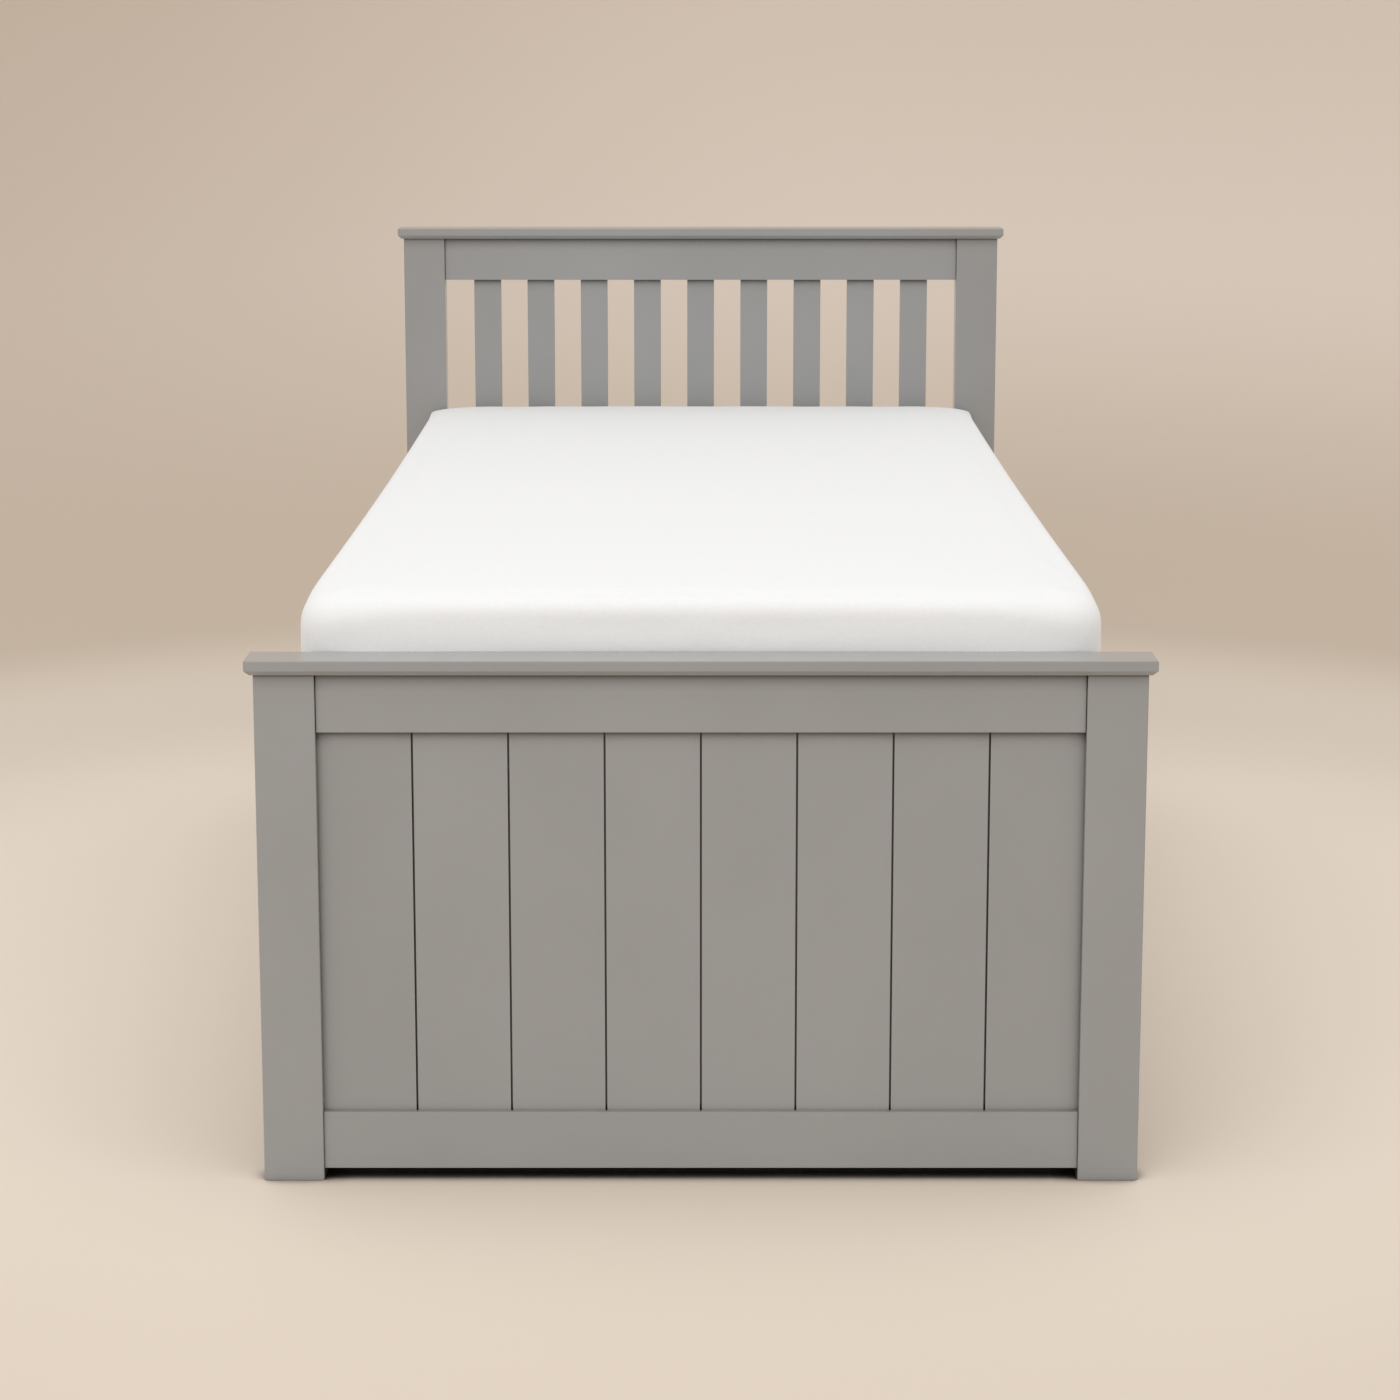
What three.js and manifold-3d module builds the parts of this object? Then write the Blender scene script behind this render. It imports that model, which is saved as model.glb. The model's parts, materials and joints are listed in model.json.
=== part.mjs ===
// A captain's bed for a single mattress. The footboard is boarded, the headboard has upright
// slats, and six drawers under the mattress open on the right-hand side.
// Units are millimetres. +Z is up, the foot end faces -Y and the drawers open towards +X.
// The origin is on the floor, under the middle of the bed.

import * as THREE from "three";
import { mergeVertices } from "three/addons/utils/BufferGeometryUtils.js";
import Module from "manifold-3d";

const wasm = await Module();
wasm.setup();

// Fits: fit is left between pieces that touch, and overcut is how far a cut runs past a face.
const fit = 0.3;
const overcut = 1;

// Mattress, and the space that the frame leaves round it
const mattressWidth = 900;
const mattressLength = 1900;
const mattressThickness = 205;
const mattressCrown = 9;
const mattressTopRadius = 25;
const mattressBottomRadius = 20;
const mattressCornerRadius = 35;
const mattressDrawIn = 3;
const mattressSideGap = 2.5;
const mattressEndGap = 10;

// Side rails, the strips inside them and the roll of slats that carries the mattress
const platformHeight = 458.5;
const sideRailHeight = 115;
const sideRailThickness = 22;
const sideRailLip = 45;
const sideReveal = 18;
const stubLength = 8;
const stubThickness = 10;
const stubShoulder = 9;
const ledgerHeight = 28;
const ledgerThickness = 28;
const bedSlatCount = 14;
const bedSlatWidth = 68;
const bedSlatThickness = 18;
const bedSlatEndGap = 2;
const bedSlatMargin = 5;
const webbingWidth = 25;
const webbingThickness = 1.5;
const webbingInset = 80;
const webbingSink = 0.2;

// Posts, the caps on them and the rails between them, alike at both ends of the bed
const postWidth = 67.5;
const postThickness = 40;
const postEdgeRadius = 1.5;
const footPostHeight = 581.3;
const headPostHeight = 934.8;
const capThickness = 17;
const capOverhang = 9;
const capTopRadius = 1.5;
const capChamfer = 5.5;
const endRailThickness = 30;
const endRailSetback = 4;
const bottomRailHeight = 65.7;
const floorGap = 13.5;
const tenonLength = 26;
const tenonThickness = 12;
const tenonMargin = 3;
const housingDepth = 8;

// Footboard: tongued and grooved boards under a top rail
const footTopRailHeight = 65.4;
const plankCount = 8;
const plankThickness = 14;
const plankSetback = 7;
const plankGap = 2.2;
const tongueReach = 5;
const tongueThickness = 4;
const tongueSetback = 7.5;

// Headboard: upright slats over a plain panel
const headTopRailHeight = 68.1;
const headLowerRailHeight = 68;
const headSlatCount = 9;
const headSlatWidth = 44.5;
const headSlatThickness = 15;
const headSlatEndGap = 47.8;
const headSlatSetback = 7;
const headSlatHousing = 12;
const headPanelThickness = 9;

// Drawer chest under the slats
const bayNames = ["foot", "middle", "head"];
const rowNames = ["lower", "upper"];
const bulkheadThickness = 18;
const baseRailHeight = 40;
const sidePanelThickness = 9;
const drawerReveal = 2.5;
const drawerFrontThickness = 20;
const drawerBoxDepth = 520;
const drawerBoxHeight = 120;
const drawerBoxRise = 16;
const drawerSideThickness = 14;
const drawerBottomThickness = 6;
const drawerBottomRise = 10;
const drawerSideGap = 3;
const runnerHeight = 14;
const runnerLength = 480;
const runnerStart = 30;
const runnerGrooveDepth = 7;
const runnerGap = 0.5;

// Turned knobs
const knobProjection = 25;
const knobRadius = 17;
const knobNeckRadius = 7;
const knobNeckHeight = 6;
const knobBaseRadius = 10;
const knobBaseHeight = 2;
const knobRimHeight = 16;
const spigotRadius = 4.5;
const spigotLength = 12;

// How finely round shapes are divided
const edgeSteps = 3;
const knobSteps = 20;
const knobCurveSteps = 4;
const mattressRoundSteps = 5;
const mattressCornerSteps = 5;
const mattressSideSteps = 6;

// Planes and lengths that several pieces share
const clearLength = mattressLength + 2 * mattressEndGap;
const sideRailInner = mattressWidth / 2 + mattressSideGap;
const sideRailOuter = sideRailInner + sideRailThickness;
const sideRailTop = platformHeight + sideRailLip;
const sideRailBottom = sideRailTop - sideRailHeight;
const baseRailTop = floorGap + baseRailHeight;
const bedSlatBottom = platformHeight - bedSlatThickness;
const halfWidth = sideRailOuter + sideReveal;
const postInner = halfWidth - postWidth;
const innerWidth = 2 * postInner;
const bottomRailTop = floorGap + bottomRailHeight;
const footTopRailBottom = footPostHeight - footTopRailHeight;
const headTopRailBottom = headPostHeight - headTopRailHeight;
const headLowerRailBottom = sideRailTop - headLowerRailHeight;
const tenonShoulder = housingDepth + tenonMargin;
const tenonSetback = (endRailThickness - tenonThickness) / 2;
const headPanelSetback = (endRailThickness - headPanelThickness) / 2;
const sidePanelInner = sideRailInner + (sideRailThickness - sidePanelThickness) / 2;
const bayCount = bayNames.length;
const rowCount = rowNames.length;
const bayWidth = (clearLength - 2 * fit - (bayCount + 1) * bulkheadThickness) / bayCount;
const rowHeight = (sideRailBottom - baseRailTop - drawerReveal) / rowCount;
const drawerFrontHeight = rowHeight - drawerReveal;
const drawerFrontInner = sideRailOuter - drawerFrontThickness;

// Finishes
const paint = { color: 0x96928d, roughness: 0.45, metalness: 0 };
const pine = { color: 0xd9b98a, roughness: 0.6, metalness: 0 };
const sheeting = { color: 0xf1f1ef, roughness: 0.9, metalness: 0 };

function pieceOf(name, geometry, finish, x = 0, y = 0, z = 0) {
  const mesh = new THREE.Mesh(geometry, new THREE.MeshStandardMaterial(finish));
  mesh.name = name;
  mesh.position.set(x, y, z);
  return mesh;
}

function solidOf(geometry) {
  const bare = geometry.clone();
  bare.deleteAttribute("normal");
  bare.deleteAttribute("uv");
  const merged = mergeVertices(bare);
  const vertProperties = merged.attributes.position.array;
  const triVerts = new Uint32Array(merged.index.array);
  return new wasm.Manifold(new wasm.Mesh({ numProp: 3, vertProperties, triVerts }));
}

function geometryOf(solid) {
  const { vertProperties, triVerts } = solid.getMesh();
  const geometry = new THREE.BufferGeometry();
  geometry.setAttribute("position", new THREE.BufferAttribute(vertProperties, 3));
  geometry.setIndex(new THREE.BufferAttribute(triVerts, 1));
  geometry.computeVertexNormals();
  return geometry;
}

// A rectangular solid between two values on each axis, given in either order
function block([x0, x1], [y0, y1], [z0, z1]) {
  const box = new THREE.BoxGeometry(Math.abs(x1 - x0), Math.abs(y1 - y0), Math.abs(z1 - z0));
  return solidOf(box.translate((x0 + x1) / 2, (y0 + y1) / 2, (z0 + z1) / 2));
}

function outlineShape(points) {
  return new THREE.Shape(points.map(([x, y]) => new THREE.Vector2(x, y)));
}

function roundedRectangle(width, depth, radius) {
  const shape = new THREE.Shape();
  const x = width / 2 - radius;
  const y = depth / 2 - radius;
  shape.absarc(x, y, radius, 0, Math.PI / 2);
  shape.absarc(-x, y, radius, Math.PI / 2, Math.PI);
  shape.absarc(-x, -y, radius, Math.PI, 1.5 * Math.PI);
  shape.absarc(x, -y, radius, 1.5 * Math.PI, 2 * Math.PI);
  return shape;
}

// A closed skin through rings of equal length, from the lowest to the highest, each counterclockwise
function loftGeometry(rings) {
  const count = rings[0].length;
  const positions = rings.flat().flatMap((p) => [p.x, p.y, p.z]);
  const index = [];
  for (let r = 0; r + 1 < rings.length; r++) {
    for (let i = 0; i < count; i++) {
      const a = r * count + i;
      const b = r * count + ((i + 1) % count);
      index.push(a, b, a + count, b, b + count, a + count);
    }
  }
  const lids = [rings[0], rings.at(-1)].map((ring) => {
    const centre = ring.reduce((sum, p) => sum.add(p), new THREE.Vector3()).divideScalar(count);
    positions.push(centre.x, centre.y, centre.z);
    return positions.length / 3 - 1;
  });
  const last = (rings.length - 1) * count;
  for (let i = 0; i < count; i++) {
    const next = (i + 1) % count;
    index.push(lids[0], next, i);
    index.push(lids[1], last + i, last + next);
  }
  const geometry = new THREE.BufferGeometry();
  geometry.setAttribute("position", new THREE.Float32BufferAttribute(positions, 3));
  geometry.setIndex(index);
  geometry.computeVertexNormals();
  return geometry;
}

// The pieces of a footboard or headboard are placed from its show face, which looks towards -Y,
// its middle line and the floor.

// A post with mortises for the end rails, a groove for boards and mortises for the side rails.
// side is 1 on the right and -1 on the left. bedFace is the face that the side rails meet, and
// inward is the direction from there into the post.
function endPost({ side, height, rails, boards, bedFace, inward }) {
  const blank = new THREE.ExtrudeGeometry(roundedRectangle(postWidth, postThickness, postEdgeRadius), {
    depth: height,
    bevelEnabled: false,
    curveSegments: edgeSteps,
  });
  let post = solidOf(blank.translate(0, postThickness / 2, 0));
  const innerFace = -side * postWidth / 2;
  const tenonFront = endRailSetback + tenonSetback;
  for (const { bottom, top } of rails) {
    post = post.subtract(
      block(
        [innerFace - side * overcut, innerFace + side * (tenonLength + fit)],
        [tenonFront - fit, tenonFront + tenonThickness + fit],
        [bottom + tenonShoulder - fit, top - tenonShoulder + fit],
      ),
    );
  }
  const boardFront = endRailSetback + boards.setback;
  post = post.subtract(
    block(
      [innerFace - side * overcut, innerFace + side * (housingDepth + fit)],
      [boardFront - fit, boardFront + boards.thickness + fit],
      [boards.bottom - housingDepth - fit, boards.top + housingDepth + fit],
    ),
  );
  const railCentre = side * ((sideRailInner + sideRailOuter) / 2 - halfWidth + postWidth / 2);
  for (const [bottom, top] of [[floorGap, baseRailTop], [sideRailBottom, sideRailTop]]) {
    post = post.subtract(
      block(
        [railCentre - stubThickness / 2 - fit, railCentre + stubThickness / 2 + fit],
        [bedFace - inward * overcut, bedFace + inward * (stubLength + fit)],
        [bottom + stubShoulder - fit, top - stubShoulder + fit],
      ),
    );
  }
  return geometryOf(post);
}

// The flat top of a post pair, with a chamfer round its lower edge and a small round on its upper one
function capRail() {
  const ring = (inset, z) => {
    const x = halfWidth + capOverhang - inset;
    const y = postThickness / 2 + capOverhang - inset;
    return [[-x, -y], [x, -y], [x, y], [-x, y]].map(([u, v]) => new THREE.Vector3(u, v, z));
  };
  const rings = [ring(capChamfer, 0), ring(0, capChamfer)];
  for (let step = 0; step <= edgeSteps; step++) {
    const angle = (step / edgeSteps) * (Math.PI / 2);
    const drop = capTopRadius * (1 - Math.sin(angle));
    rings.push(ring(capTopRadius * (1 - Math.cos(angle)), capThickness - drop));
  }
  return loftGeometry(rings);
}

// A rail with a tenon at each end. over and under say what board runs into its edge, if any.
function endRail({ height, over, under, cuts = [] }) {
  const half = postInner - fit;
  const tenonEnd = postInner + tenonLength;
  let rail = block([-half, half], [0, endRailThickness], [0, height]).add(
    block(
      [-tenonEnd, tenonEnd],
      [tenonSetback, tenonSetback + tenonThickness],
      [tenonShoulder, height - tenonShoulder],
    ),
  );
  const groove = (board, edge, depth) =>
    block(
      [-half - overcut, half + overcut],
      [board.setback - fit, board.setback + board.thickness + fit],
      [edge - depth, edge + depth],
    );
  if (over) {
    rail = rail.subtract(groove(over, height, housingDepth + fit));
  }
  if (under) {
    rail = rail.subtract(groove(under, 0, housingDepth + fit));
  }
  return geometryOf(cuts.reduce((cut, tool) => cut.subtract(tool), rail));
}

// Footboard

const plankPitch = (innerWidth + plankGap) / plankCount;

// The plan of one board, from the left edge of its face. Each board has its groove on the left
// and its tongue on the right, and the outer boards run on into the posts.
function plankOutline(place) {
  const face = plankPitch - plankGap;
  const tongueBack = tongueSetback + tongueThickness;
  const housed = housingDepth - fit;
  const left = [
    [0, plankThickness],
    [0, tongueBack + fit],
    [tongueReach + fit, tongueBack + fit],
    [tongueReach + fit, tongueSetback - fit],
    [0, tongueSetback - fit],
    [0, 0],
  ];
  const right = [
    [face, 0],
    [face, tongueSetback],
    [face + plankGap + tongueReach, tongueSetback],
    [face + plankGap + tongueReach, tongueBack],
    [face + plankGap - fit, tongueBack],
    [face + plankGap - fit, plankThickness],
  ];
  const plainLeft = [[-housed, plankThickness], [-housed, 0]];
  const plainRight = [[face + housed, 0], [face + housed, plankThickness]];
  return [
    ...(place === 0 ? plainLeft : left),
    ...(place === plankCount - 1 ? plainRight : right),
  ];
}

function footboard() {
  const group = new THREE.Group();
  const boards = {
    setback: plankSetback,
    thickness: plankThickness,
    bottom: bottomRailTop,
    top: footTopRailBottom,
  };
  const rails = [
    { bottom: floorGap, top: bottomRailTop },
    { bottom: footTopRailBottom, top: footPostHeight },
  ];
  for (const [word, side] of [["left", -1], ["right", 1]]) {
    const bedFace = postThickness;
    const post = endPost({ side, height: footPostHeight, rails, boards, bedFace, inward: -1 });
    group.add(pieceOf(`footboard_${word}_post`, post, paint, side * (halfWidth - postWidth / 2)));
  }
  const capBottom = footPostHeight + fit;
  group.add(pieceOf("footboard_cap_rail", capRail(), paint, 0, postThickness / 2, capBottom));
  const topRail = endRail({ height: footTopRailHeight, under: boards });
  group.add(pieceOf("footboard_top_rail", topRail, paint, 0, endRailSetback, footTopRailBottom));
  const bottomRail = endRail({ height: bottomRailHeight, over: boards });
  group.add(pieceOf("footboard_bottom_rail", bottomRail, paint, 0, endRailSetback, floorGap));
  const plankBottom = bottomRailTop - housingDepth;
  for (let place = 0; place < plankCount; place++) {
    const plank = new THREE.ExtrudeGeometry(outlineShape(plankOutline(place)), {
      depth: footTopRailBottom - bottomRailTop + 2 * housingDepth,
      bevelEnabled: false,
    });
    const x = -postInner + place * plankPitch;
    const y = endRailSetback + plankSetback;
    group.add(pieceOf(`footboard_plank_${place + 1}`, plank, paint, x, y, plankBottom));
  }
  return group;
}

// Headboard

const headSlatPitch = (innerWidth - 2 * headSlatEndGap - headSlatWidth) / (headSlatCount - 1);

function headSlatX(place) {
  return (place - (headSlatCount - 1) / 2) * headSlatPitch;
}

// The mortises for the slats, in a rail's lower edge at z = 0 or its upper edge at z = edge
function slatMortises(edge) {
  const reach = headSlatHousing + fit;
  return Array.from({ length: headSlatCount }, (_, place) =>
    block(
      [headSlatX(place) - headSlatWidth / 2 - fit, headSlatX(place) + headSlatWidth / 2 + fit],
      [headSlatSetback - fit, headSlatSetback + headSlatThickness + fit],
      [edge - reach, edge + reach],
    ),
  );
}

function headboard() {
  const group = new THREE.Group();
  const panel = {
    setback: headPanelSetback,
    thickness: headPanelThickness,
    bottom: bottomRailTop,
    top: headLowerRailBottom,
  };
  const rails = [
    { bottom: floorGap, top: bottomRailTop },
    { bottom: headLowerRailBottom, top: sideRailTop },
    { bottom: headTopRailBottom, top: headPostHeight },
  ];
  for (const [word, side] of [["left", -1], ["right", 1]]) {
    const bedFace = 0;
    const post = endPost({ side, height: headPostHeight, rails, boards: panel, bedFace, inward: 1 });
    group.add(pieceOf(`headboard_${word}_post`, post, paint, side * (halfWidth - postWidth / 2)));
  }
  const capBottom = headPostHeight + fit;
  group.add(pieceOf("headboard_cap_rail", capRail(), paint, 0, postThickness / 2, capBottom));
  const topRail = endRail({ height: headTopRailHeight, cuts: slatMortises(0) });
  group.add(pieceOf("headboard_top_rail", topRail, paint, 0, endRailSetback, headTopRailBottom));
  const lowerRail = endRail({
    height: headLowerRailHeight,
    under: panel,
    cuts: slatMortises(headLowerRailHeight),
  });
  group.add(pieceOf("headboard_lower_rail", lowerRail, paint, 0, endRailSetback, headLowerRailBottom));
  const bottomRail = endRail({ height: bottomRailHeight, over: panel });
  group.add(pieceOf("headboard_bottom_rail", bottomRail, paint, 0, endRailSetback, floorGap));
  group.add(pieceOf("headboard_lower_panel", headPanel(panel), paint, 0, endRailSetback));
  const slatBottom = sideRailTop - headSlatHousing;
  const slatHeight = headTopRailBottom - sideRailTop + 2 * headSlatHousing;
  for (let place = 0; place < headSlatCount; place++) {
    const slat = new THREE.BoxGeometry(headSlatWidth, headSlatThickness, slatHeight);
    const y = endRailSetback + headSlatSetback + headSlatThickness / 2;
    const z = slatBottom + slatHeight / 2;
    group.add(pieceOf(`headboard_slat_${place + 1}`, slat, paint, headSlatX(place), y, z));
  }
  return group;
}

function headPanel(panel) {
  const half = postInner + housingDepth;
  return geometryOf(
    block(
      [-half, half],
      [panel.setback, panel.setback + panel.thickness],
      [panel.bottom - housingDepth, panel.top + housingDepth],
    ),
  );
}

// Sides. Both long rails of a side have a stub tenon at each end, which enters the post.
function sideRail({ side, bottom, top, cut }) {
  const half = clearLength / 2 - fit;
  const stubEnd = clearLength / 2 + stubLength;
  const centre = (sideRailInner + sideRailOuter) / 2;
  const rail = block([side * sideRailInner, side * sideRailOuter], [-half, half], [bottom, top]).add(
    block(
      [side * (centre - stubThickness / 2), side * (centre + stubThickness / 2)],
      [-stubEnd, stubEnd],
      [bottom + stubShoulder, top - stubShoulder],
    ),
  );
  return geometryOf(cut ? rail.subtract(cut) : rail);
}

// The groove that takes an edge of the left-hand panel, in a rail whose edge is at the given height
function sidePanelGroove(height) {
  const depth = housingDepth + fit;
  return block(
    [-sidePanelInner + fit, -sidePanelInner - sidePanelThickness - fit],
    [-clearLength / 2, clearLength / 2],
    [height - depth, height + depth],
  );
}

function sides() {
  const group = new THREE.Group();
  const upper = { bottom: sideRailBottom, top: sideRailTop };
  const lower = { bottom: floorGap, top: baseRailTop };
  const upperGroove = sidePanelGroove(sideRailBottom);
  const lowerGroove = sidePanelGroove(baseRailTop);
  group.add(pieceOf("right_side_rail", sideRail({ side: 1, ...upper }), paint));
  group.add(pieceOf("right_base_rail", sideRail({ side: 1, ...lower }), paint));
  group.add(pieceOf("left_side_rail", sideRail({ side: -1, ...upper, cut: upperGroove }), paint));
  group.add(pieceOf("left_base_rail", sideRail({ side: -1, ...lower, cut: lowerGroove }), paint));
  const panel = block(
    [-sidePanelInner, -sidePanelInner - sidePanelThickness],
    [-clearLength / 2 + fit, clearLength / 2 - fit],
    [baseRailTop - housingDepth, sideRailBottom + housingDepth],
  );
  group.add(pieceOf("left_side_panel", geometryOf(panel), paint));
  return group;
}

// Strips screwed inside the side rails, and the roll of slats that lies on them
function slatBase() {
  const group = new THREE.Group();
  const ledgerTop = bedSlatBottom - fit;
  const ledgerLength = clearLength - 2 * fit;
  for (const [word, side] of [["left", -1], ["right", 1]]) {
    const ledger = new THREE.BoxGeometry(ledgerThickness, ledgerLength, ledgerHeight);
    const x = side * (sideRailInner - fit - ledgerThickness / 2);
    group.add(pieceOf(`${word}_slat_ledger`, ledger, pine, x, 0, ledgerTop - ledgerHeight / 2));
  }
  group.add(pieceOf("bed_slat_roll", bedSlatRoll(), pine, 0, 0, bedSlatBottom));
  return group;
}

// The slats with the two webbing tapes that join them, from the underside of the slats
function bedSlatRoll() {
  const halfSlat = sideRailInner - bedSlatEndGap;
  const endY = clearLength / 2 - bedSlatMargin;
  const pitch = (2 * endY - bedSlatWidth) / (bedSlatCount - 1);
  let roll = block([-halfSlat, halfSlat], [-endY, -endY + bedSlatWidth], [0, bedSlatThickness]);
  for (let place = 1; place < bedSlatCount; place++) {
    const y = -endY + place * pitch;
    roll = roll.add(block([-halfSlat, halfSlat], [y, y + bedSlatWidth], [0, bedSlatThickness]));
  }
  const tapeBottom = bedSlatThickness - webbingSink;
  for (const side of [-1, 1]) {
    const outer = halfSlat - webbingInset;
    const across = [side * (outer - webbingWidth), side * outer];
    roll = roll.add(block(across, [-endY, endY], [tapeBottom, bedSlatThickness + webbingThickness]));
  }
  return geometryOf(roll);
}

// Mattress

// A rounded rectangle of points, counterclockwise, drawn in by inset on every side. Between its
// corners each side is drawn in a little further, most at its middle.
function mattressRing(inset, z) {
  const halfX = mattressWidth / 2 - inset;
  const halfY = mattressLength / 2 - inset;
  const radius = Math.min(mattressCornerRadius, halfX / 2);
  const corners = [[1, -1], [1, 1], [-1, 1], [-1, -1]];
  const arcs = corners.map(([signX, signY], place) => {
    const start = (place - 1) * (Math.PI / 2);
    return Array.from({ length: mattressCornerSteps + 1 }, (_, step) => {
      const angle = start + (step / mattressCornerSteps) * (Math.PI / 2);
      const x = signX * (halfX - radius) + radius * Math.cos(angle);
      const y = signY * (halfY - radius) + radius * Math.sin(angle);
      return new THREE.Vector3(x, y, z);
    });
  });
  return arcs.flatMap((arc, place) => {
    const next = arcs[(place + 1) % arcs.length][0];
    const inward = place * (Math.PI / 2) + Math.PI;
    const run = Array.from({ length: mattressSideSteps - 1 }, (_, step) => {
      const share = (step + 1) / mattressSideSteps;
      const point = arc.at(-1).clone().lerp(next, share);
      const drawIn = mattressDrawIn * Math.sin(Math.PI * share);
      point.x += drawIn * Math.cos(inward);
      point.y += drawIn * Math.sin(inward);
      return point;
    });
    return [...arc, ...run];
  });
}

// Height of the mattress top at a distance in from its edge: a crown that falls off towards the
// sides, and a round along the edge
function mattressTopZ(inset) {
  const crownedShare = 1 - inset / (mattressWidth / 2);
  const fromArc = Math.max(mattressTopRadius - inset, 0);
  const round = mattressTopRadius - Math.sqrt(mattressTopRadius ** 2 - fromArc ** 2);
  return mattressThickness - mattressCrown * crownedShare ** 4 - round;
}

function mattressGeometry() {
  const rings = [];
  for (let step = 0; step <= mattressRoundSteps; step++) {
    const angle = (step / mattressRoundSteps) * (Math.PI / 2);
    const inset = mattressBottomRadius * (1 - Math.sin(angle));
    rings.push(mattressRing(inset, mattressBottomRadius * (1 - Math.cos(angle))));
  }
  for (let step = 0; step <= mattressRoundSteps; step++) {
    const angle = (step / mattressRoundSteps) * (Math.PI / 2);
    const inset = mattressTopRadius * (1 - Math.cos(angle));
    rings.push(mattressRing(inset, mattressTopZ(inset)));
  }
  const crownShares = [0.18, 0.34, 0.56, 0.85];
  for (const share of crownShares) {
    const inset = share * (mattressWidth / 2);
    rings.push(mattressRing(inset, mattressTopZ(inset)));
  }
  return loftGeometry(rings);
}

// Drawer chest

function bulkheadY(place) {
  return -clearLength / 2 + fit + place * (bulkheadThickness + bayWidth);
}

function rowBottom(row) {
  return baseRailTop + drawerReveal + row * rowHeight;
}

function runnerCentreZ(row) {
  return rowBottom(row) + drawerBoxRise + drawerBoxHeight / 2;
}

// An upright board between two bays. It stands on the floor, is notched round the base rails,
// and has a batten on each bay's side for every drawer to run on.
function bulkhead(place) {
  const right = sideRailOuter;
  const left = -sidePanelInner + fit;
  const through = [-overcut, bulkheadThickness + overcut];
  const notch = [-overcut, baseRailTop + fit];
  let board = block([left, right], [0, bulkheadThickness], [0, sideRailBottom - fit])
    .subtract(block([sideRailInner - fit, right + overcut], through, notch))
    .subtract(block([left - overcut, -sideRailInner + fit], through, notch));
  const projection = drawerSideGap + runnerGrooveDepth - runnerGap;
  const runnerFront = drawerFrontInner - runnerStart;
  const faces = [];
  if (place > 0) {
    faces.push([-projection, bulkheadThickness / 2]);
  }
  if (place < bayCount) {
    faces.push([bulkheadThickness / 2, bulkheadThickness + projection]);
  }
  for (const across of faces) {
    for (let row = 0; row < rowCount; row++) {
      const z = runnerCentreZ(row);
      const along = [runnerFront - runnerLength, runnerFront];
      board = board.add(block(along, across, [z - runnerHeight / 2, z + runnerHeight / 2]));
    }
  }
  return geometryOf(board);
}

// The front of a drawer, from the middle of its lower edge, with a hole for the knob's spigot
function drawerFront() {
  const half = bayWidth / 2 - drawerReveal;
  const holeRadius = spigotRadius + fit;
  const holeDepth = spigotLength + fit;
  const hole = new THREE.CylinderGeometry(holeRadius, holeRadius, 2 * holeDepth, knobSteps);
  hole.rotateZ(Math.PI / 2).translate(0, 0, drawerFrontHeight / 2);
  const slab = block([-drawerFrontThickness, 0], [-half, half], [0, drawerFrontHeight]);
  return geometryOf(slab.subtract(solidOf(hole)));
}

// An open box with a raised bottom and a groove along each side for its batten. Its front end
// is at x = 0, and the grooves stop short of it so that the battens stop the drawer.
function drawerBox() {
  const half = bayWidth / 2 - drawerSideGap;
  const inner = half - drawerSideThickness;
  const floorTop = drawerBottomRise + drawerBottomThickness;
  const inside = [-drawerBoxDepth + drawerSideThickness, -drawerSideThickness];
  let box = block([-drawerBoxDepth, 0], [-half, half], [0, drawerBoxHeight])
    .subtract(block(inside, [-inner, inner], [floorTop, drawerBoxHeight + overcut]))
    .subtract(block(inside, [-inner, inner], [-overcut, drawerBottomRise]));
  const grooveHalf = runnerHeight / 2 + runnerGap;
  const centre = drawerBoxHeight / 2;
  for (const side of [-1, 1]) {
    box = box.subtract(
      block(
        [-drawerBoxDepth - overcut, -runnerStart + fit],
        [side * (half - runnerGrooveDepth), side * (half + overcut)],
        [centre - grooveHalf, centre + grooveHalf],
      ),
    );
  }
  return geometryOf(box);
}

// A turned knob on a spigot, standing on a face at y = 0
function knobGeometry() {
  const outline = new THREE.Path();
  outline.moveTo(0, -spigotLength);
  outline.lineTo(spigotRadius, -spigotLength);
  outline.lineTo(spigotRadius, fit);
  outline.lineTo(knobBaseRadius, fit);
  outline.lineTo(knobBaseRadius, knobBaseHeight);
  outline.quadraticCurveTo(knobNeckRadius, knobBaseHeight, knobNeckRadius, knobNeckHeight);
  outline.quadraticCurveTo(knobNeckRadius, knobRimHeight, knobRadius, knobRimHeight);
  outline.quadraticCurveTo(knobRadius, knobProjection, 0, knobProjection);
  return new THREE.LatheGeometry(outline.getPoints(knobCurveSteps), knobSteps);
}

function drawer(row, bay) {
  const group = new THREE.Group();
  const name = `drawer_${rowNames[row]}_${bayNames[bay]}`;
  const knobZ = drawerFrontHeight / 2;
  group.position.set(0, bulkheadY(bay) + bulkheadThickness + bayWidth / 2, rowBottom(row));
  group.add(pieceOf(`${name}_front`, drawerFront(), paint, sideRailOuter));
  group.add(pieceOf(`${name}_box`, drawerBox(), pine, drawerFrontInner - fit, 0, drawerBoxRise));
  const knob = pieceOf(`${name}_knob`, knobGeometry(), paint, sideRailOuter, 0, knobZ);
  knob.rotation.z = -Math.PI / 2;
  group.add(knob);
  return group;
}

function chest() {
  const group = new THREE.Group();
  const bulkheadNames = ["chest_foot_end", "chest_foot_divider", "chest_head_divider", "chest_head_end"];
  bulkheadNames.forEach((name, place) => {
    group.add(pieceOf(name, bulkhead(place), paint, 0, bulkheadY(place)));
  });
  for (let row = 0; row < rowCount; row++) {
    for (let bay = 0; bay < bayCount; bay++) {
      group.add(drawer(row, bay));
    }
  }
  return group;
}

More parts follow.
